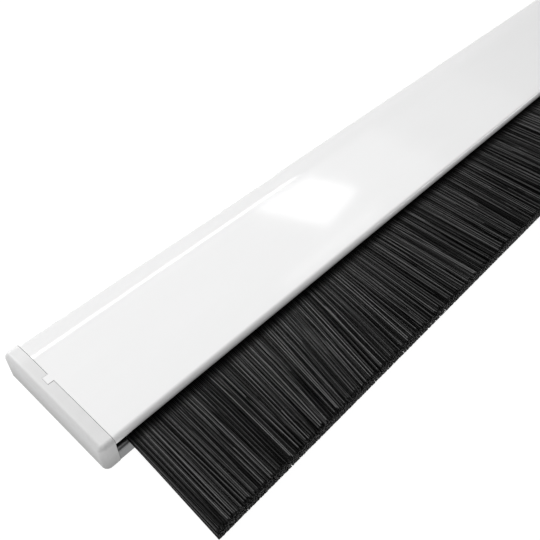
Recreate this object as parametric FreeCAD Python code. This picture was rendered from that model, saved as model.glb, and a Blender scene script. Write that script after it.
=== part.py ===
import FreeCAD, Part

import math
import os

# Door sweep for the bottom of a door: a screwed-on aluminium carrier rail, a strip brush
# that slides into the rail, a cover that clips over the screws, and a cap on each end.
# Millimetres. X runs along the door, -Y points to the floor, +Z away from the door's face.
# The origin is at the middle of the rail's flat back face, which lies against the door.

# Overall
LENGTH = 914.0  # rail and cover, for a 36 inch door
FACE_WIDTH = 30.0  # cover, from its lower edge to its upper edge
THICKNESS = 6.5  # door's face to the cover's face
LOWER_Y = -FACE_WIDTH / 2
UPPER_Y = FACE_WIDTH / 2

# Cover
COVER_WALL = 1.0
CREASE_Y = 10.0  # where the face turns into the shallow upper bevel
BEVEL_FALL = 0.35  # how far the bevel drops by the upper edge
CREASE_R = 25.0
LOWER_EDGE_R = 1.0
UPPER_EDGE_R = 1.4
COVER_INSIDE_Z = THICKNESS - COVER_WALL
LIP_Z = 5.1  # bottom of the short lower flange, above the bristles
SKIRT_Z = 0.3  # bottom of the upper flange, clear of the door
LEG_WALL = 0.8
LEG_Z = 2.6  # bottom of the two clip legs
TAB_WALL = 0.7  # locating tab at each end of the cover, which drops into the cap's notch
EDGE_R = 0.25  # small radii on extruded edges

# Carrier rail
RAIL_WEB = 1.0
RAIL_WALL = 0.9
RAIL_GAP = 0.1  # between the rail's edges and the cover's flanges
RAIL_LOWER_Y = LOWER_Y + 0.1
RAIL_UPPER_Y = UPPER_Y - COVER_WALL - RAIL_GAP
SLOT_Z = (2.5, 4.9)  # the brush channel's slot
SLOT_Y = (-13.3, -8.5)
SLOT_WALL_TOP_Z = 5.4
SLOT_LIP = 0.3  # how far the mouth's lips stand into the slot
LOWER_LIP_R = 0.8  # the rounded outer edge of the lower lip
UPPER_RIB_Y = (9.6, 10.5)
UPPER_RIB_TOP_Z = 4.6
CLIP_GAP = 0.05  # each clip leg to its rib

# Screw holes through the rail's web
HOLE_R = 2.25
HOLE_PITCH = 800.0 / 3
HOLE_COUNT = 4
HOLE_Y = 1.0

# Strip brush: folded channel, core wire and filaments
BRUSH_Z = sum(SLOT_Z) / 2
CHANNEL_HEIGHT = 2.3
CHANNEL_WALL = 0.3
CHANNEL_Y = (-13.2, -8.6)
CHANNEL_FOLD_R = 0.5
CHANNEL_END_GAP = 1.9  # channel's end to the rail's end
PACK_END_GAP = 2.3  # filaments' end to the rail's end
PACK_HEIGHT = CHANNEL_HEIGHT - 2 * CHANNEL_WALL
WIRE_R = 0.4
WIRE_PLAY = 0.02
WIRE_Y = -9.8
ROOT_END_Y = -14.35  # where the clamped filaments end and the free ones start
FLEX_Y = -15.5  # the line that the free filaments bend about
TIP_Y = -38.1
TIP_HEIGHT = 3.2

# End caps
CAP_GAP = 0.08  # cap to the cut end of the rail and cover
CAP_THICKNESS = 3.0
CAP_FILLET_R = 1.2
NOTCH_Y = (2.35, 4.4)  # notch in the cap's inner top edge, for the cover's tab
NOTCH_DEPTH = 1.2
NOTCH_FALL = 0.8
TAB_GAPS_Y = (0.15, 0.05)  # tab to the notch's lower and upper side
TAB_END_GAP = 0.05
PEG_LENGTH = 8.0
PEG_Y = ((-6.3, -1.0), (3.0, 8.3))
PEG_Z = (1.1, 5.2)
PEG_NOSE = 0.8

ON_PLANE = 1e-6  # how near an edge has to be to count as lying on a plane


def turned_corner(before, corner, after, radius):
    """Start, middle and end of the arc that rounds a corner, or the corner itself if the radius is 0."""
    if radius == 0:
        return [corner]
    to_before = (before - corner).normalize()
    to_after = (after - corner).normalize()
    half = to_before.getAngle(to_after) / 2
    inward = (to_before + to_after).normalize()
    reach = radius / math.tan(half)
    centre = corner + inward * (radius / math.sin(half))
    return [corner + to_before * reach, centre - inward * radius, corner + to_after * reach]


def section(corners, x=0.0):
    """A face across the length at x, through (y, z, radius) corners."""
    points = [FreeCAD.Vector(x, y, z) for y, z, _ in corners]
    count = len(points)
    turns = [
        turned_corner(points[i - 1], points[i], points[(i + 1) % count], corners[i][2])
        for i in range(count)
    ]
    edges = []
    for i, turn in enumerate(turns):
        edges.append(Part.LineSegment(turns[i - 1][-1], turn[0]).toShape())
        if len(turn) == 3:
            edges.append(Part.Arc(*turn).toShape())
    return Part.Face(Part.Wire(edges))


def extrusion(corners, x_start, x_end):
    """A bar of one section between two places along the length."""
    return section(corners, x_start).extrude(FreeCAD.Vector(x_end - x_start, 0, 0))


def centred_extrusion(corners, length):
    return extrusion(corners, -length / 2, length / 2)


def outer_corners(lower_z, upper_z, end_r):
    """The visible outline, from the lower flange's end over the face to the upper flange's end."""
    return [
        (LOWER_Y, lower_z, end_r),
        (LOWER_Y, THICKNESS, LOWER_EDGE_R),
        (CREASE_Y, THICKNESS, CREASE_R),
        (UPPER_Y, THICKNESS - BEVEL_FALL, UPPER_EDGE_R),
        (UPPER_Y, upper_z, end_r),
    ]


def clip_leg_corners(upper_y):
    """A clip leg hanging from the inside of the cover, from its face at upper_y downwards."""
    lower_y = upper_y - LEG_WALL
    return [
        (upper_y, COVER_INSIDE_Z, 0),
        (upper_y, LEG_Z, EDGE_R),
        (lower_y, LEG_Z, EDGE_R),
        (lower_y, COVER_INSIDE_Z, 0),
    ]


def tab_bar():
    """A bar that shows at both ends of the cover as its locating tabs, flush with the face."""
    reach = CAP_GAP + NOTCH_DEPTH - TAB_END_GAP
    lower_y = NOTCH_Y[0] + TAB_GAPS_Y[0]
    upper_y = NOTCH_Y[1] - TAB_GAPS_Y[1]
    corners = [
        (lower_y, THICKNESS - TAB_WALL, 0),
        (lower_y, THICKNESS, 0),
        (upper_y, THICKNESS, 0),
        (upper_y, THICKNESS - TAB_WALL, 0),
    ]
    return centred_extrusion(corners, LENGTH + 2 * reach)


def cover_profile():
    inner_lower_y = LOWER_Y + COVER_WALL
    inner_upper_y = UPPER_Y - COVER_WALL
    upper_leg_y = UPPER_RIB_Y[0] - CLIP_GAP
    lower_leg_y = SLOT_Y[1] + RAIL_WALL + CLIP_GAP + LEG_WALL
    corners = outer_corners(LIP_Z, SKIRT_Z, EDGE_R)
    corners += [
        (inner_upper_y, SKIRT_Z, EDGE_R),
        (inner_upper_y, COVER_INSIDE_Z - BEVEL_FALL, EDGE_R),
        (CREASE_Y, COVER_INSIDE_Z, 0),
    ]
    corners += clip_leg_corners(upper_leg_y)
    corners += clip_leg_corners(lower_leg_y)
    corners += [
        (inner_lower_y, COVER_INSIDE_Z, EDGE_R),
        (inner_lower_y, LIP_Z, EDGE_R),
    ]
    return centred_extrusion(corners, LENGTH).fuse(tab_bar()).removeSplitter()


def screw_hole(x):
    """A drill right through the web."""
    return Part.makeCylinder(HOLE_R, 3 * RAIL_WEB, FreeCAD.Vector(x, HOLE_Y, -RAIL_WEB))


def carrier_rail():
    slot_back_y = SLOT_Y[1] + RAIL_WALL
    mouth_low_z = SLOT_Z[0] + SLOT_LIP
    mouth_high_z = SLOT_Z[1] - SLOT_LIP
    upper_lip_y = LOWER_Y + COVER_WALL + RAIL_GAP
    web = [
        (RAIL_LOWER_Y, 0, 0),
        (RAIL_UPPER_Y, 0, 0),
        (RAIL_UPPER_Y, RAIL_WEB, EDGE_R),
    ]
    upper_rib = [
        (UPPER_RIB_Y[1], RAIL_WEB, EDGE_R),
        (UPPER_RIB_Y[1], UPPER_RIB_TOP_Z, EDGE_R),
        (UPPER_RIB_Y[0], UPPER_RIB_TOP_Z, EDGE_R),
        (UPPER_RIB_Y[0], RAIL_WEB, 0),
    ]
    slot_outside = [
        (slot_back_y, RAIL_WEB, 0),
        (slot_back_y, SLOT_WALL_TOP_Z, EDGE_R),
        (upper_lip_y, SLOT_WALL_TOP_Z, EDGE_R),
        (upper_lip_y, mouth_high_z, 0),
    ]
    slot_inside = [
        (SLOT_Y[0], mouth_high_z, 0),
        (SLOT_Y[0], SLOT_Z[1], 0),
        (SLOT_Y[1], SLOT_Z[1], 0),
        (SLOT_Y[1], SLOT_Z[0], 0),
        (SLOT_Y[0], SLOT_Z[0], 0),
        (SLOT_Y[0], mouth_low_z, 0),
    ]
    lower_lip = [(RAIL_LOWER_Y, mouth_low_z, LOWER_LIP_R)]
    rail = centred_extrusion(web + upper_rib + slot_outside + slot_inside + lower_lip, LENGTH)
    first = -(HOLE_COUNT - 1) * HOLE_PITCH / 2
    for i in range(HOLE_COUNT):
        rail = rail.cut(screw_hole(first + i * HOLE_PITCH))
    return rail


def brush_channel():
    low_z = BRUSH_Z - CHANNEL_HEIGHT / 2
    high_z = BRUSH_Z + CHANNEL_HEIGHT / 2
    back_y = CHANNEL_Y[1] - CHANNEL_WALL
    inner_r = CHANNEL_FOLD_R - CHANNEL_WALL
    corners = [
        (CHANNEL_Y[0], low_z, 0),
        (CHANNEL_Y[1], low_z, CHANNEL_FOLD_R),
        (CHANNEL_Y[1], high_z, CHANNEL_FOLD_R),
        (CHANNEL_Y[0], high_z, 0),
        (CHANNEL_Y[0], high_z - CHANNEL_WALL, 0),
        (back_y, high_z - CHANNEL_WALL, inner_r),
        (back_y, low_z + CHANNEL_WALL, inner_r),
        (CHANNEL_Y[0], low_z + CHANNEL_WALL, 0),
    ]
    return centred_extrusion(corners, LENGTH - 2 * CHANNEL_END_GAP)


def bar_along_x(radius, length, y, z):
    start = FreeCAD.Vector(-length / 2, y, z)
    return Part.makeCylinder(radius, length, start, FreeCAD.Vector(1, 0, 0))


def core_wire():
    return bar_along_x(WIRE_R, LENGTH - 2 * CHANNEL_END_GAP, WIRE_Y, BRUSH_Z)


def bristle_roots():
    """The filaments folded around the core wire, out to the channel's mouth."""
    length = LENGTH - 2 * PACK_END_GAP
    half = PACK_HEIGHT / 2
    slab = centred_extrusion(
        [
            (ROOT_END_Y, BRUSH_Z - half, 0),
            (WIRE_Y, BRUSH_Z - half, 0),
            (WIRE_Y, BRUSH_Z + half, 0),
            (ROOT_END_Y, BRUSH_Z + half, 0),
        ],
        length,
    )
    folded = slab.fuse(bar_along_x(half, length, WIRE_Y, BRUSH_Z)).removeSplitter()
    return folded.cut(bar_along_x(WIRE_R + WIRE_PLAY, length, WIRE_Y, BRUSH_Z))


def bristles():
    """The free filaments as one pack, a little thicker at the tips, round where it bends."""
    length = LENGTH - 2 * PACK_END_GAP
    root_half = PACK_HEIGHT / 2
    tip_half = TIP_HEIGHT / 2
    pack = centred_extrusion(
        [
            (TIP_Y, BRUSH_Z - tip_half, EDGE_R),
            (FLEX_Y, BRUSH_Z - root_half, 0),
            (FLEX_Y, BRUSH_Z + root_half, 0),
            (TIP_Y, BRUSH_Z + tip_half, EDGE_R),
        ],
        length,
    )
    return pack.fuse(bar_along_x(root_half, length, FLEX_Y, BRUSH_Z)).removeSplitter()


def peg(y_range, inner_x):
    """A peg that plugs the hollow between the rail and the cover, with a chamfered nose."""
    block = Part.makeBox(
        PEG_LENGTH,
        y_range[1] - y_range[0],
        PEG_Z[1] - PEG_Z[0],
        FreeCAD.Vector(inner_x - PEG_LENGTH, y_range[0], PEG_Z[0]),
    )
    nose_x = inner_x - PEG_LENGTH
    nose = [edge for edge in block.Edges if edge.BoundBox.XMax < nose_x + ON_PLANE]
    return block.makeChamfer(PEG_NOSE, nose)


def far_cap():
    """The cap at the +X end."""
    inner_x = LENGTH / 2 + CAP_GAP
    outer_x = inner_x + CAP_THICKNESS
    shell = extrusion(outer_corners(0, 0, 0), inner_x, outer_x)
    rim = [
        edge
        for edge in shell.Edges
        if edge.BoundBox.XMin > outer_x - ON_PLANE and edge.BoundBox.ZMax > ON_PLANE
    ]
    shell = shell.makeFillet(CAP_FILLET_R, rim)
    notch = Part.makeBox(
        NOTCH_DEPTH,
        NOTCH_Y[1] - NOTCH_Y[0],
        2 * NOTCH_FALL,
        FreeCAD.Vector(inner_x, NOTCH_Y[0], THICKNESS - NOTCH_FALL),
    )
    cap = shell.cut(notch)
    for y_range in PEG_Y:
        cap = cap.fuse(peg(y_range, inner_x))
    return cap.removeSplitter()


def near_cap():
    return far_cap().mirror(FreeCAD.Vector(0, 0, 0), FreeCAD.Vector(1, 0, 0))


def build():
    pieces = {
        "carrier_rail": carrier_rail(),
        "cover_profile": cover_profile(),
        "brush_channel": brush_channel(),
        "core_wire": core_wire(),
        "bristle_roots": bristle_roots(),
        "bristles": bristles(),
        "near_end_cap": near_cap(),
        "far_end_cap": far_cap(),
    }
    os.makedirs("parts", exist_ok=True)
    for name, shape in pieces.items():
        box = shape.BoundBox
        print(name, shape.isValid(), len(shape.Solids), "%.1f mm3" % shape.Volume, box)
        shape.exportStep("parts/%s.step" % name)


build()
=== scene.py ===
"""Looks of the flat door sweep: its finishes, its brush strand by strand, its studio and camera."""

import logging
import math
import random
from dataclasses import dataclass
from enum import Enum
from typing import Any

import bmesh
import bpy
import numpy as np
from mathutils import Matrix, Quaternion, Vector, noise


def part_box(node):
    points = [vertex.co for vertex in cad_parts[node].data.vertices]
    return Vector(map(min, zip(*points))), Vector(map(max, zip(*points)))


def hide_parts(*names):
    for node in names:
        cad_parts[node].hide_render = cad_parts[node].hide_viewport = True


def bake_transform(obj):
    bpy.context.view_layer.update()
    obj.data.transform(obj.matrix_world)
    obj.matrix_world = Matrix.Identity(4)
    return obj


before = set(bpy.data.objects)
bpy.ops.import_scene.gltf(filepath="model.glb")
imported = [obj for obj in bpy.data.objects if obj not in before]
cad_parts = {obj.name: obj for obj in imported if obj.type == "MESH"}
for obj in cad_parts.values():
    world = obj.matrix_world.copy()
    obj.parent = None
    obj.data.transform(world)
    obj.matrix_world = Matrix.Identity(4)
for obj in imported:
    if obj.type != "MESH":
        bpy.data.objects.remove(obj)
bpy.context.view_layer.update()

MM = 0.001
STRAND_SHADE = "strand_shade"

Colour = tuple[float, float, float]
Point = tuple[float, float, float]
Scale = tuple[float, float, float]
Link = Any

log = logging.getLogger("door_sweep")


# Shader maths and nodes


class Operation(Enum):
    """What a Math node does with its two values."""

    SUM = "ADD"
    DIFFERENCE = "SUBTRACT"
    PRODUCT = "MULTIPLY"
    POWER = "POWER"


class Value:
    """A shader value: an expression on one or more of these adds the Math nodes that it needs."""

    def __init__(self, graph: "Graph", socket: bpy.types.NodeSocket) -> None:
        """Keeps the material's graph and the output socket that holds the value."""
        self.graph = graph
        self.socket = socket

    def _maths(self, operation: Operation, left: Link, right: Link) -> "Value":
        """Adds one Math node.

        Args:
            operation: What the node does.
            left: The first value, a Value or a number.
            right: The second value, a Value or a number.

        Returns:
            The node's result.
        """
        node = self.graph.add("ShaderNodeMath", {"operation": operation.value}, {0: left, 1: right})
        return Value(self.graph, node.outputs[0])

    def __add__(self, other: Link) -> "Value":
        """Sum."""
        return self._maths(Operation.SUM, self, other)

    def __radd__(self, other: Link) -> "Value":
        """Sum, with the number first."""
        return self._maths(Operation.SUM, other, self)

    def __sub__(self, other: Link) -> "Value":
        """Difference."""
        return self._maths(Operation.DIFFERENCE, self, other)

    def __rsub__(self, other: Link) -> "Value":
        """Difference, with the number first."""
        return self._maths(Operation.DIFFERENCE, other, self)

    def __mul__(self, other: Link) -> "Value":
        """Product."""
        return self._maths(Operation.PRODUCT, self, other)

    def __rmul__(self, other: Link) -> "Value":
        """Product, with the number first."""
        return self._maths(Operation.PRODUCT, other, self)

    def __pow__(self, other: Link) -> "Value":
        """Power."""
        return self._maths(Operation.POWER, self, other)


class Graph:
    """One material's node tree, which ends in a Principled shader."""

    def __init__(self, name: str) -> None:
        """Starts an empty node material called name."""
        self.material = bpy.data.materials.new(name)
        self.material.use_nodes = True
        self.tree = self.material.node_tree
        self.tree.nodes.clear()

    def add(self, kind: str, settings: dict[str, Any], sockets: dict[Any, Link]) -> bpy.types.Node:
        """Adds a node of any type.

        Args:
            kind: The node's type, such as ShaderNodeMath.
            settings: The node's own settings, which are set first.
            sockets: A number, a vector, a Value or an output socket for each input.

        Returns:
            The node.
        """
        node = self.tree.nodes.new(kind)
        for name, value in settings.items():
            setattr(node, name, value)
        for key, value in sockets.items():
            if isinstance(value, Value):
                value = value.socket
            if isinstance(value, bpy.types.NodeSocket):
                self.tree.links.new(value, node.inputs[key])
            else:
                node.inputs[key].default_value = value
        return node

    def speckle(self, scale: Scale, detail: float = 2.0, roughness: float = 0.5) -> Value:
        """Noise in the piece's own coordinates.

        Args:
            scale: Cycles per metre along X, Y and Z.
            detail: Octaves of finer noise.
            roughness: How strong the finer octaves are.

        Returns:
            A value from 0 to 1, around 0.5.
        """
        place = self.add("ShaderNodeTexCoord", {}, {})
        stretch = self.add("ShaderNodeMapping", {}, {"Vector": place.outputs["Object"], "Scale": scale})
        grain = self.add(
            "ShaderNodeTexNoise",
            {},
            {"Vector": stretch.outputs[0], "Scale": 1.0, "Detail": detail, "Roughness": roughness},
        )
        return Value(self, grain.outputs["Fac"])

    def spangle(self, scale: float) -> Value:
        """One random value from 0 to 1 for each crystal of a coating, with scale crystals per metre."""
        place = self.add("ShaderNodeTexCoord", {}, {})
        cells = self.add(
            "ShaderNodeTexVoronoi", {}, {"Vector": place.outputs["Object"], "Scale": scale}
        )
        split = self.add("ShaderNodeSeparateColor", {}, {"Color": cells.outputs["Color"]})
        return Value(self, split.outputs[0])

    def rise(self, low: float, high: float) -> Value:
        """A value from 0 to 1 as the height goes from low to high.

        Args:
            low: The height, in metres, up to which the value is 0.
            high: The height from which it is 1.

        Returns:
            The value.
        """
        place = self.add("ShaderNodeTexCoord", {}, {})
        split = self.add("ShaderNodeSeparateXYZ", {}, {"Vector": place.outputs["Object"]})
        ramp = self.add(
            "ShaderNodeMapRange", {}, {"Value": split.outputs["Z"], "From Min": low, "From Max": high}
        )
        return Value(self, ramp.outputs["Result"])

    def strand_shade(self) -> Value:
        """The value from 0 to 1 that each filament carries: random from strand to strand, and lowered
        at its roots and cut tip as painted shade.
        """
        node = self.add("ShaderNodeAttribute", {"attribute_name": STRAND_SHADE}, {})
        return Value(self, node.outputs["Fac"])

    def tint(self, amount: Value, low: Colour, high: Colour) -> bpy.types.NodeSocket:
        """A colour from low to high as amount goes from 0 to 1."""
        node = self.add(
            "ShaderNodeMix",
            {"data_type": "RGBA"},
            {"Factor": amount, "A": (*low, 1.0), "B": (*high, 1.0)},
        )
        return node.outputs["Result"]

    def relief(self, height: Value, depth: float) -> bpy.types.NodeSocket:
        """A normal for a surface that rises by depth, in metres, as height goes from 0 to 1."""
        node = self.add("ShaderNodeBump", {}, {"Height": height, "Distance": depth, "Strength": 1.0})
        return node.outputs[0]

    def finish(self, sockets: dict[Any, Link]) -> bpy.types.Material:
        """Adds the Principled shader and the output.

        Args:
            sockets: What the Principled shader's inputs get.

        Returns:
            The finished material.
        """
        surface = self.add("ShaderNodeBsdfPrincipled", {}, sockets)
        self.add("ShaderNodeOutputMaterial", {}, {"Surface": surface.outputs[0]})
        return self.material


# Finishes


@dataclass(frozen=True)
class GlossExtrusion:
    """Gloss white rigid plastic, with the faint waves that an extrusion die leaves along it."""

    white: Colour = (0.87, 0.87, 0.872)
    dusty: Colour = (0.845, 0.845, 0.845)
    roughness: float = 0.055
    roughness_spread: float = 0.035
    die_lines: Scale = (3, 420, 420)
    waves: Scale = (14, 60, 60)
    grain: Scale = (2500, 2500, 2500)
    handling: Scale = (40, 160, 160)
    die_line_share: float = 0.12
    wave_depth: float = 0.012 * MM
    grain_depth: float = 0.0006 * MM

    def build(self) -> bpy.types.Material:
        """The cover's material."""
        graph = Graph("gloss_white_extrusion")
        die_lines = graph.speckle(self.die_lines, detail=3)
        waves = graph.speckle(self.waves, detail=1)
        grain = graph.speckle(self.grain)
        handling = graph.speckle(self.handling, detail=4, roughness=0.6)
        fine = grain * (self.grain_depth / self.wave_depth)
        height = waves + die_lines * self.die_line_share + fine
        return graph.finish(
            {
                "Base Color": graph.tint(handling, self.dusty, self.white),
                "Roughness": self.roughness + handling * self.roughness_spread,
                "Normal": graph.relief(height, self.wave_depth),
            }
        )


@dataclass(frozen=True)
class SatinMoulding:
    """Off-white moulded plastic with a fine eroded grain and random mottle, its colour darkened towards
    the door's side as painted shade.
    """

    pale: Colour = (0.685, 0.685, 0.685)
    # The tone at the door's side: a painted shade, not the plastic's own colour.
    deep: Colour = (0.38, 0.38, 0.38)
    painted_shade_height: float = 6 * MM
    mottle: float = 0.25
    roughness: float = 0.38
    roughness_spread: float = 0.12
    grain: Scale = (5200, 5200, 5200)
    clouds: Scale = (260, 260, 260)
    grain_depth: float = 0.012 * MM

    def build(self) -> bpy.types.Material:
        """The end caps' material."""
        graph = Graph("satin_white_moulding")
        grain = graph.speckle(self.grain, detail=3)
        clouds = graph.speckle(self.clouds, detail=3)
        # Painted shade: the colour darkens from 6 mm above the door's side down to it. The clouds add
        # random mottle.
        painted_shade_and_mottle = graph.rise(0.0, self.painted_shade_height) + (clouds - 0.5) * self.mottle
        return graph.finish(
            {
                "Base Color": graph.tint(painted_shade_and_mottle, self.deep, self.pale),
                "Roughness": self.roughness + clouds * self.roughness_spread,
                "Normal": graph.relief(grain, self.grain_depth),
            }
        )


@dataclass(frozen=True)
class MillAluminium:
    """Aluminium as it leaves the die, with fine lines along its length and patches of dull oxide, all
    far darker than bare aluminium as painted shade under the cover's lip.
    """

    # Both colours are painted shade: far darker than bare aluminium, standing in for the shadow under
    # the cover's lip.
    bright: Colour = (0.3, 0.303, 0.306)
    dull: Colour = (0.16, 0.162, 0.165)
    roughness: float = 0.26
    oxide_roughness: float = 0.14
    line_roughness: float = 0.1
    lines: Scale = (6, 2400, 2400)
    oxide: Scale = (45, 130, 130)
    oxide_share: float = 0.6
    line_depth: float = 0.01 * MM

    def build(self) -> bpy.types.Material:
        """The carrier rail's material."""
        graph = Graph("mill_finish_aluminium")
        lines = graph.speckle(self.lines, detail=4, roughness=0.65)
        oxide = graph.speckle(self.oxide, detail=4, roughness=0.6)
        patches = oxide * self.oxide_share + lines * (1 - self.oxide_share)
        wear_and_sheen = oxide * self.oxide_roughness + lines * self.line_roughness
        return graph.finish(
            {
                "Base Color": graph.tint(patches, self.dull, self.bright),
                "Metallic": 1.0,
                "Roughness": self.roughness + wear_and_sheen,
                "Normal": graph.relief(lines, self.line_depth),
            }
        )


@dataclass(frozen=True)
class GalvanisedSteel:
    """Zinc-coated steel strip or wire.

    Attributes:
        name: What the material is called.
        crystals: Crystals of zinc per metre.
        bright: The lightest crystal.
        dull: The darkest one.
        roughness: The smoothest part's roughness.
        roughness_spread: How much the crystals add to it, and as much again the scuffs.
        scuffs: Cycles per metre of the scuffs, which run along the strip.
        crystal_share: How much of the colour's change follows the crystals.
        scuff_depth: How deep the scuffs are, in metres.
    """

    name: str
    crystals: float
    bright: Colour = (0.62, 0.63, 0.65)
    dull: Colour = (0.42, 0.43, 0.45)
    roughness: float = 0.3
    roughness_spread: float = 0.12
    scuffs: Scale = (60, 900, 900)
    crystal_share: float = 0.7
    scuff_depth: float = 0.006 * MM

    def build(self) -> bpy.types.Material:
        """The channel's or the core wire's material."""
        graph = Graph(self.name)
        crystal = graph.spangle(self.crystals)
        scuffs = graph.speckle(self.scuffs, detail=4)
        patches = crystal * self.crystal_share + scuffs * (1 - self.crystal_share)
        return graph.finish(
            {
                "Base Color": graph.tint(patches, self.dull, self.bright),
                "Metallic": 1.0,
                "Roughness": self.roughness + (crystal + scuffs) * self.roughness_spread,
                "Normal": graph.relief(scuffs, self.scuff_depth),
            }
        )


@dataclass(frozen=True)
class Filament:
    """Black synthetic bristle, with a shine that is stronger on some strands than on others, and a
    lighter base colour on some strands that is partly grey from use and partly painted sheen.

    Attributes:
        black: The darkest strand.
        worn_and_sheen: The lightest strand's colour, partly grey from use and partly painted sheen
            standing in for glints.
        sheen_and_wear_power: How few strands are lightened; a higher power leaves fewer.
        sheen_and_wear_low: The least that scuffs leave of that lighter colour.
        sheen_and_wear_spread: How much more they leave at most.
        roughness: Roughness under the coat.
        base_shine: Shine under the coat.
        coat_shine: The shiniest strand's coat.
        coat_power: How few strands are shiny; a higher power leaves fewer.
        coat_roughness: Roughness of the coat.
        scuffs: Cycles per metre of the scuffs.
        scuff_depth: How deep the scuffs are, in metres.
    """

    black: Colour = (0.001, 0.001, 0.001)
    worn_and_sheen: Colour = (0.13, 0.13, 0.13)
    sheen_and_wear_power: int = 3
    sheen_and_wear_low: float = 0.6
    sheen_and_wear_spread: float = 0.8
    roughness: float = 0.3
    base_shine: float = 0.12
    coat_shine: float = 0.6
    coat_power: int = 2
    coat_roughness: float = 0.2
    scuffs: Scale = (2500, 700, 2500)
    scuff_depth: float = 0.012 * MM

    def build(self) -> bpy.types.Material:
        """The bristles' material."""
        graph = Graph("black_filament")
        shade = graph.strand_shade()
        scuffs = graph.speckle(self.scuffs, detail=2)
        # Lighter strands: painted sheen standing in for glints, partly grey from use. The painted shade
        # at roots and cut tips also comes in through the strand's value.
        wear_and_sheen = shade**self.sheen_and_wear_power * (self.sheen_and_wear_low + scuffs * self.sheen_and_wear_spread)
        return graph.finish(
            {
                "Base Color": graph.tint(wear_and_sheen, self.black, self.worn_and_sheen),
                "Specular IOR Level": self.base_shine,
                "Roughness": self.roughness,
                "Coat Weight": shade**self.coat_power * self.coat_shine,
                "Coat Roughness": self.coat_roughness,
                "Normal": graph.relief(scuffs, self.scuff_depth),
            }
        )


# Sub-assemblies


def dress(node: str, material: bpy.types.Material) -> None:
    """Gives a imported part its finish.

    Args:
        node: The part's name.
        material: The finish.
    """
    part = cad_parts[node]
    for slot in part.material_slots:
        slot.material = material
    log.info("%s is dressed in %s", node, material.name)


@dataclass
class Profiles:
    """The carrier rail and the cover that clips over it."""

    aluminium: MillAluminium = MillAluminium()
    plastic: GlossExtrusion = GlossExtrusion()

    def build(self) -> None:
        """Dresses both extrusions."""
        dress("carrier_rail", self.aluminium.build())
        dress("cover_profile", self.plastic.build())


@dataclass
class EndCaps:
    """The moulded cap that plugs into each end."""

    plastic: SatinMoulding = SatinMoulding()

    def build(self) -> None:
        """Dresses both caps."""
        material = self.plastic.build()
        dress("near_end_cap", material)
        dress("far_end_cap", material)


@dataclass(frozen=True)
class Sweep:
    """A stretch of the brush whose bristles have been pushed over sideways.

    Attributes:
        middle: Distance from the rail's near end, in metres.
        reach: How far it fades out on each side, in metres.
        lean: How far it leans towards the near end at its middle, in degrees.
    """

    middle: float
    reach: float
    lean: float


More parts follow.
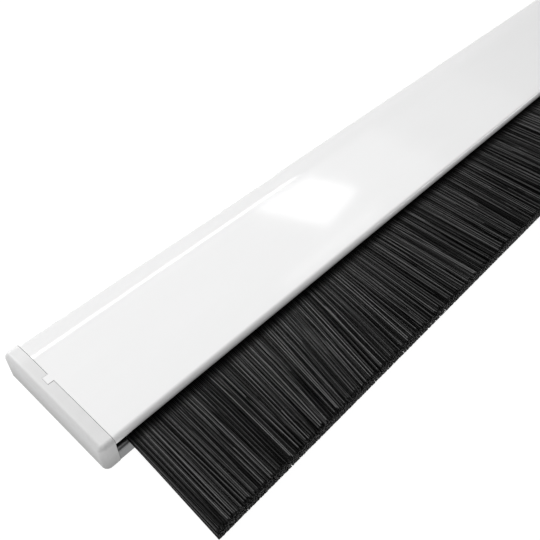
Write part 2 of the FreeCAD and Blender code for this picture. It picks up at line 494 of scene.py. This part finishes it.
@dataclass
class StripBrush:
    """Filaments folded round the core wire, gripped in the folded channel and fanned to their tips.

    Attributes:
        filament_r: A filament's radius.
        pitch: Distance between columns of strands.
        layers: Strands in a column, from the door's side up.
        foot_layers: How many of them lie side by side on the door's side.
        foot_play: How far those lie from the pack's lower face, in half packs.
        bundles: How many stretches the brush is made in, one mesh each.
        seed: Where the random numbers start.
        lean: How far every bristle leans towards the near end, in degrees.
        sweeps: Stretches that have been pushed over further.
        far_lean: The largest random lean beyond those stretches, in degrees.
        far_start: Where the random lean starts, from the near end.
        far_fade: How far it takes to come in.
        far_pace: Cycles of the random lean per metre.
        settled_end: Distance from the brush's ends over which strands lie straighter.
        loose_middle: How untidy a strand halfway up the pack is.
        loose_slope: How much more the top strands are, and less the bottom ones.
        clump_size: Distance along the brush over which strands lean together.
        clump_layers: Cycles of that lean over half the pack's height.
        clump_lean: How far they lean, in degrees.
        strand_lean: Spread of each strand's own lean, in degrees.
        stray_share: Share of strands that stray.
        stray_lean: How far those can lean besides, in degrees.
        ragged: Spread of the cut tips.
        crown: How much shorter the top strands can be.
        lift: How far a clump's tips rise or fall.
        lift_play: Spread of each strand's own lift, in clump lifts.
        bow: Spread of each strand's bow.
        free_stations: Where the points of the free part are, from the channel's mouth to the tip.
        bend: The power that a strand's sideways shift grows by along it.
        column_play: Where a strand can stand in its half column.
        shade_step: Step in shade from one column to the next.
        shade_play: Random part of a strand's shade.
        root_painted_shade: Share of its shade that a strand keeps inside the channel and at its mouth,
            a painted shade under the cover's lip.
        tip_painted_shade: Share that it keeps at its cut tip, a painted shade on the cut ends.
        corners: Corners of a strand's section.
        weld: Distance below which points are joined.
        flex_reach: Length over which the bristles bend out of the channel; not used.
        steel: The channel's finish.
        wire: The core wire's finish.
        finish: The filaments' finish.
    """

    filament_r: float = 0.125 * MM
    pitch: float = 0.27 * MM
    layers: int = 9
    foot_layers: int = 2
    foot_play: float = 0.04
    bundles: int = 10
    seed: int = 11
    lean: float = 2.5
    sweeps: tuple[Sweep, ...] = (
        Sweep(44 * MM, 19 * MM, 11.5),
        Sweep(102 * MM, 10 * MM, 3.5),
    )
    far_lean: float = 6.0
    far_start: float = 150 * MM
    far_fade: float = 100 * MM
    far_pace: float = 19.0
    settled_end: float = 3 * MM
    loose_middle: float = 0.65
    loose_slope: float = 0.35
    clump_size: float = 1.1 * MM
    clump_layers: float = 1.4
    clump_lean: float = 0.3
    strand_lean: float = 0.6
    stray_share: float = 0.03
    stray_lean: float = 2.5
    ragged: float = 0.04 * MM
    crown: float = 0.6 * MM
    lift: float = 0.08 * MM
    lift_play: float = 0.6
    bow: float = 0.1 * MM
    free_stations: tuple[float, ...] = (0.0, 0.12, 0.36, 0.985, 1.0)
    bend: float = 1.1
    column_play: tuple[float, float] = (0.05, 0.45)
    shade_step: float = 0.382
    shade_play: float = 0.25
    root_painted_shade: float = 0.3
    tip_painted_shade: float = 0.3
    corners: int = 4
    weld: float = 1e-7
    flex_reach: float = 9 * MM
    steel: GalvanisedSteel = GalvanisedSteel("galvanised_strip", 900.0)
    wire: GalvanisedSteel = GalvanisedSteel("drawn_wire", 2600.0, roughness=0.22)
    finish: Filament = Filament()

    def __post_init__(self) -> None:
        """Reads the places of the channel, the wire and the two packs of filaments from the frame."""
        self.roots_low, self.roots_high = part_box("bristle_roots")
        self.free_low, self.free_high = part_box("bristles")
        wire_low, wire_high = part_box("core_wire")
        self.wire_r = (wire_high.z - wire_low.z) / 2
        self.wire_y = (wire_low.y + wire_high.y) / 2
        self.near_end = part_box("carrier_rail")[0].x
        self.middle_z = (self.roots_low.z + self.roots_high.z) / 2
        self.random = random.Random(self.seed)

    def sideways(self, x: float) -> float:
        """How far the bristles lean towards the near end at a place along the length, in degrees."""
        along = x - self.near_end
        lean = self.lean
        for sweep in self.sweeps:
            lean += sweep.lean * math.exp(-(((along - sweep.middle) / sweep.reach) ** 2))
        beyond = min(1.0, max(0.0, (along - self.far_start) / self.far_fade))
        return lean + beyond * self.far_lean * noise.noise(Vector((x * self.far_pace, 4.0, 0.0)))

    def height(self, layer: int) -> float:
        """Where a strand of a layer lies in the pack, from -1 at the door's side to 1 under the lip.

        Args:
            layer: The layer, counted from the door's side. The foot layers lie side by side there.

        Returns:
            The strand's height, a little different each time.
        """
        loose_layer = layer - self.foot_layers + self.random.random()
        foot = -1 + self.foot_play * self.random.random()
        return max(foot, -1 + 2 * (loose_layer + 0.5) / (self.layers - self.foot_layers + 0.5))

    def root(self, x: float, height: float) -> list[Vector]:
        """The part of a strand that the channel grips, from the back of the core wire.

        Args:
            x: Where the strand stands along the length.
            height: Its height in the pack, from -1 to 1.

        Returns:
            Three points, the last of them at the height where the free part starts.
        """
        half_pack = (self.roots_high.z - self.roots_low.z) / 2 - self.filament_r
        side = 1.0 if height > 0 else -1.0
        touching = self.wire_r + self.filament_r
        clear = touching + abs(height) * (half_pack - touching)
        return [
            Vector((x, self.wire_y + clear, self.middle_z)),
            Vector((x, self.wire_y, self.middle_z + side * clear)),
            Vector((x, (self.wire_y + self.roots_low.y) / 2, self.middle_z + height * half_pack)),
        ]

    def strand(self, x: float, height: float) -> list[Vector]:
        """One leg of a folded filament, from the back of the core wire to its cut tip.

        Args:
            x: Where it stands along the length.
            height: Its height in the pack, from -1 at the door's side to 1 under the cover's lip.

        Returns:
            The points of its centre line.
        """
        pick = self.random
        points = self.root(x, height)
        spot = Vector((x / self.clump_size, height * self.clump_layers, 0.0))
        untidy = self.clump_lean * noise.noise(spot) + pick.gauss(0, self.strand_lean)
        if pick.random() < self.stray_share:
            untidy += pick.uniform(-self.stray_lean, self.stray_lean)
        from_end = min(x - self.free_low.x, self.free_high.x - x)
        settled = min(1.0, from_end / self.settled_end)
        loose = settled * (self.loose_middle + self.loose_slope * height)
        lean = self.sideways(x) + untidy * loose
        rise = noise.noise(spot + Vector((0.0, 0.0, 9.0))) + pick.gauss(0, self.lift_play)
        bow_x = loose * pick.gauss(0, self.bow)
        bow_z = pick.gauss(0, self.bow / 2)
        cut = abs(pick.gauss(0, self.ragged)) + self.crown * pick.random() * max(0.0, height) ** 2
        half_fan = (self.free_high.z - self.free_low.z) / 2 - self.filament_r
        tip_z = self.middle_z + height * half_fan + self.lift * loose * rise
        start = Vector((x, self.roots_low.y, points[-1].z))
        run = start.y - self.free_low.y - cut
        shift = -math.tan(math.radians(lean)) * run
        for t in self.free_stations:
            belly = 4 * t * (1 - t)
            across = shift * t**self.bend + bow_x * belly
            along = -run * t
            up = (tip_z - start.z) * t + bow_z * belly
            points.append(start + Vector((across, along, up)))
        return points

    def bundle(self, index: int) -> bpy.types.Object:
        """All the filaments of one stretch of the brush, as one mesh.

        Args:
            index: The stretch, counted from the near end.

        Returns:
            The finished piece.
        """
        length = (self.free_high.x - self.free_low.x - 2 * self.filament_r) / self.bundles
        start = self.free_low.x + self.filament_r + index * length
        columns = round(length / self.pitch)
        curve = bpy.data.curves.new(f"filaments_{index + 1}", "CURVE")
        curve.dimensions = "3D"
        curve.bevel_depth = self.filament_r
        curve.bevel_resolution = 0
        curve.use_fill_caps = True
        shades = []
        for k in range(columns * self.layers):
            column, layer = divmod(k, self.layers)
            place = column + (layer % 2) / 2 + self.random.uniform(*self.column_play)
            points = self.strand(start + length * place / columns, self.height(layer))
            spline = curve.splines.new("POLY")
            spline.points.add(len(points) - 1)
            spline.points.foreach_set("co", [c for p in points for c in (*p, 1.0)])
            shade = (column + layer / 2) * self.shade_step + self.shade_play * self.random.random()
            shades.append(shade % 1.0)
        source = bpy.data.objects.new(curve.name, curve)
        mesh = bpy.data.meshes.new_from_object(source)
        bpy.data.objects.remove(source)
        bpy.data.curves.remove(curve)
        attribute = mesh.attributes.new(STRAND_SHADE, "FLOAT", "POINT")
        attribute.data.foreach_set("value", self.point_shades(shades, len(points)))
        self.close(mesh)
        piece = bpy.data.objects.new(f"filaments_{index + 1}", mesh)
        bpy.context.scene.collection.objects.link(piece)
        return piece

    def close(self, mesh: bpy.types.Mesh) -> None:
        """Joins each strand's cut ends to its sides.

        Args:
            mesh: A bundle's mesh.
        """
        form = bmesh.new()
        form.from_mesh(mesh)
        bmesh.ops.remove_doubles(form, verts=form.verts, dist=self.weld)
        form.to_mesh(mesh)
        form.free()

    def point_shades(self, shades: list[float], rings: int) -> np.ndarray:
        """Spreads each strand's shade over its mesh, whose cut ends come before the strands' sides,
        lowering it at the roots and the cut tips as painted shade.

        Args:
            shades: One value for each strand.
            rings: How many rings of corners a strand has.

        Returns:
            One value for each of the mesh's points.
        """
        along = np.repeat(np.array(shades, np.float32)[:, None], rings, axis=1)
        # Painted shade: the strands are darkened inside the channel and at its mouth, under the cover's
        # lip.
        along[:, : -len(self.free_stations) + 1] *= self.root_painted_shade
        # Painted shade: the cut tips are darkened.
        along[:, -1] *= self.tip_painted_shade
        ends = along[::-1, [-1, 0]]
        return np.repeat(np.concatenate([ends.ravel(), along.ravel()]), self.corners)

    def build(self) -> None:
        """Makes every bundle in place of the bristle parts, which it hides, and dresses the channel and
        wire.
        """
        dress("brush_channel", self.steel.build())
        dress("core_wire", self.wire.build())
        material = self.finish.build()
        for index in range(self.bundles):
            piece = self.bundle(index)
            piece.data.materials.clear()
            piece.data.materials.append(material)
            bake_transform(piece)
            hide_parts("bristles", "bristle_roots")
            log.info("%s has %d faces", piece.name, len(piece.data.polygons))


# Studio


@dataclass(frozen=True)
class SoftBox:
    """A rectangular studio light.

    Attributes:
        name: What it is called.
        place: Its middle, in metres from the rail's near end.
        target: The point that it faces, measured the same way.
        width: Its size along its own X.
        depth: Its size along its own Y.
        radiance: How bright its front looks.
        turn: How far it is turned about the line to its target, in degrees.
    """

    name: str
    place: Point
    target: Point
    width: float
    depth: float
    radiance: float
    turn: float = 0.0

    def build(self, near_end: Vector) -> None:
        """Hangs the light.

        Args:
            near_end: The point that places are measured from.
        """
        lamp = bpy.data.lights.new(self.name, "AREA")
        lamp.shape = "RECTANGLE"
        lamp.size = self.width
        lamp.size_y = self.depth
        lamp.energy = self.radiance * math.pi * self.width * self.depth
        light = bpy.data.objects.new(self.name, lamp)
        light.location = near_end + Vector(self.place)
        facing = Vector(self.target) - Vector(self.place)
        turn = Quaternion((0.0, 0.0, 1.0), math.radians(self.turn))
        light.rotation_euler = (facing.to_track_quat("-Z", "Y") @ turn).to_euler()
        bpy.context.scene.collection.objects.link(light)


@dataclass
class Studio:
    """A white floor, soft boxes and the camera.

    Attributes:
        floor_size: Length of the floor's side.
        floor_drop: How far the floor lies under the sweep's back.
        floor_tone: The floor's colour.
        floor_roughness: The floor's roughness.
        floor_glow: The floor's own light, which keeps it white.
        room: Strength of the room's even light.
        boxes: The lights.
        camera_place: The camera's place, from the rail's near end.
        camera_heading: Which way it looks about Z, in degrees from +Y.
        camera_dip: How far it looks down, in degrees.
        lens: Its focal length, in millimetres.
        sensor: Its sensor's width, in millimetres.
        clip_start: The nearest that it sees.
    """

    floor_size: float = 24.0
    floor_drop: float = 0.05 * MM
    floor_tone: Colour = (0.1, 0.1, 0.1)
    floor_roughness: float = 0.9
    floor_glow: float = 0.96
    room: float = 0.12
    boxes: tuple[SoftBox, ...] = (
        SoftBox("key_box", (-0.16, 0.62, 0.56), (0.05, 0.0, 0.0), 0.4, 0.3, 8.6),
        SoftBox("back_box", (0.35, 1.6, 0.75), (0.1, 0.0, 0.0), 1.8, 0.45, 7.0),
        SoftBox("front_box", (-0.2, -0.2, 0.9), (0.05, 0.0, 0.0), 0.6, 0.6, 2.7),
        SoftBox("face_card", (0.36, 0.43, 0.62), (0.36, 0.43, 0.0), 1.03, 0.17, 0.9),
        SoftBox("far_card", (0.5, 0.43, 0.62), (0.5, 0.43, 0.0), 1.31, 0.17, 0.3),
        SoftBox("gloss_box", (0.633, 0.442, 0.6), (0.984, 0.588, 0.0), 0.1, 0.46, 3.2, 5.0),
        SoftBox("crease_strip", (0.33, 0.54, 0.6), (0.33, 0.54, 0.0), 0.67, 0.05, 6.0),
        SoftBox("edge_strip", (0.57, 0.352, 0.6), (0.57, 0.352, 0.0), 0.22, 0.006, 3.0),
        SoftBox("edge_card", (1.3, -0.65, 0.8), (0.1, -0.015, 0.0), 0.8, 0.24, 5.0),
    )
    camera_place: Point = (-0.0244, -0.0729, 0.1064)
    camera_heading: float = -46.9
    camera_dip: float = 46.0
    lens: float = 45.07
    sensor: float = 36.0
    clip_start: float = 5 * MM

    def build(self) -> None:
        """Builds the floor, lights the room and sets up the camera."""
        near_end = Vector((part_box("carrier_rail")[0].x, 0.0, 0.0))
        self.floor()
        self.world()
        for box in self.boxes:
            box.build(near_end)
        self.camera(near_end)

    def floor(self) -> None:
        """A plain white floor just under the sweep's back."""
        form = bmesh.new()
        bmesh.ops.create_grid(form, x_segments=1, y_segments=1, size=self.floor_size / 2)
        bmesh.ops.translate(form, vec=(0.0, 0.0, -self.floor_drop), verts=form.verts)
        mesh = bpy.data.meshes.new("floor")
        form.to_mesh(mesh)
        form.free()
        graph = Graph("white_floor")
        mesh.materials.append(
            graph.finish(
                {
                    "Base Color": (*self.floor_tone, 1.0),
                    "Roughness": self.floor_roughness,
                    "Emission Color": (1.0, 1.0, 1.0, 1.0),
                    "Emission Strength": self.floor_glow,
                }
            )
        )
        ground = bpy.data.objects.new("floor", mesh)
        bpy.context.scene.collection.objects.link(ground)

    def world(self) -> None:
        """The even light of the room."""
        room = bpy.data.worlds.new("room")
        room.use_nodes = True
        background = room.node_tree.nodes["Background"]
        background.inputs["Color"].default_value = (1.0, 1.0, 1.0, 1.0)
        background.inputs["Strength"].default_value = self.room
        bpy.context.scene.world = room
        bpy.context.scene.view_settings.view_transform = "Standard"

    def camera(self, near_end: Vector) -> None:
        """The camera, above the near end on the bristles' side and looking along the sweep.

        Args:
            near_end: The point that its place is measured from.
        """
        lens = bpy.data.cameras.new("camera")
        lens.lens = self.lens
        lens.sensor_width = self.sensor
        lens.clip_start = self.clip_start
        camera = bpy.data.objects.new("camera", lens)
        camera.location = near_end + Vector(self.camera_place)
        camera.rotation_euler = (
            math.radians(90 - self.camera_dip),
            0.0,
            math.radians(self.camera_heading),
        )
        bpy.context.scene.collection.objects.link(camera)
        bpy.context.scene.camera = camera


def main() -> None:
    """Builds the sweep's looks, then the studio round it."""
    logging.basicConfig(level=logging.INFO, format="%(name)s: %(message)s")
    Studio().build()
    Profiles().build()
    EndCaps().build()
    StripBrush().build()


if __name__ == "__main__":
    main()
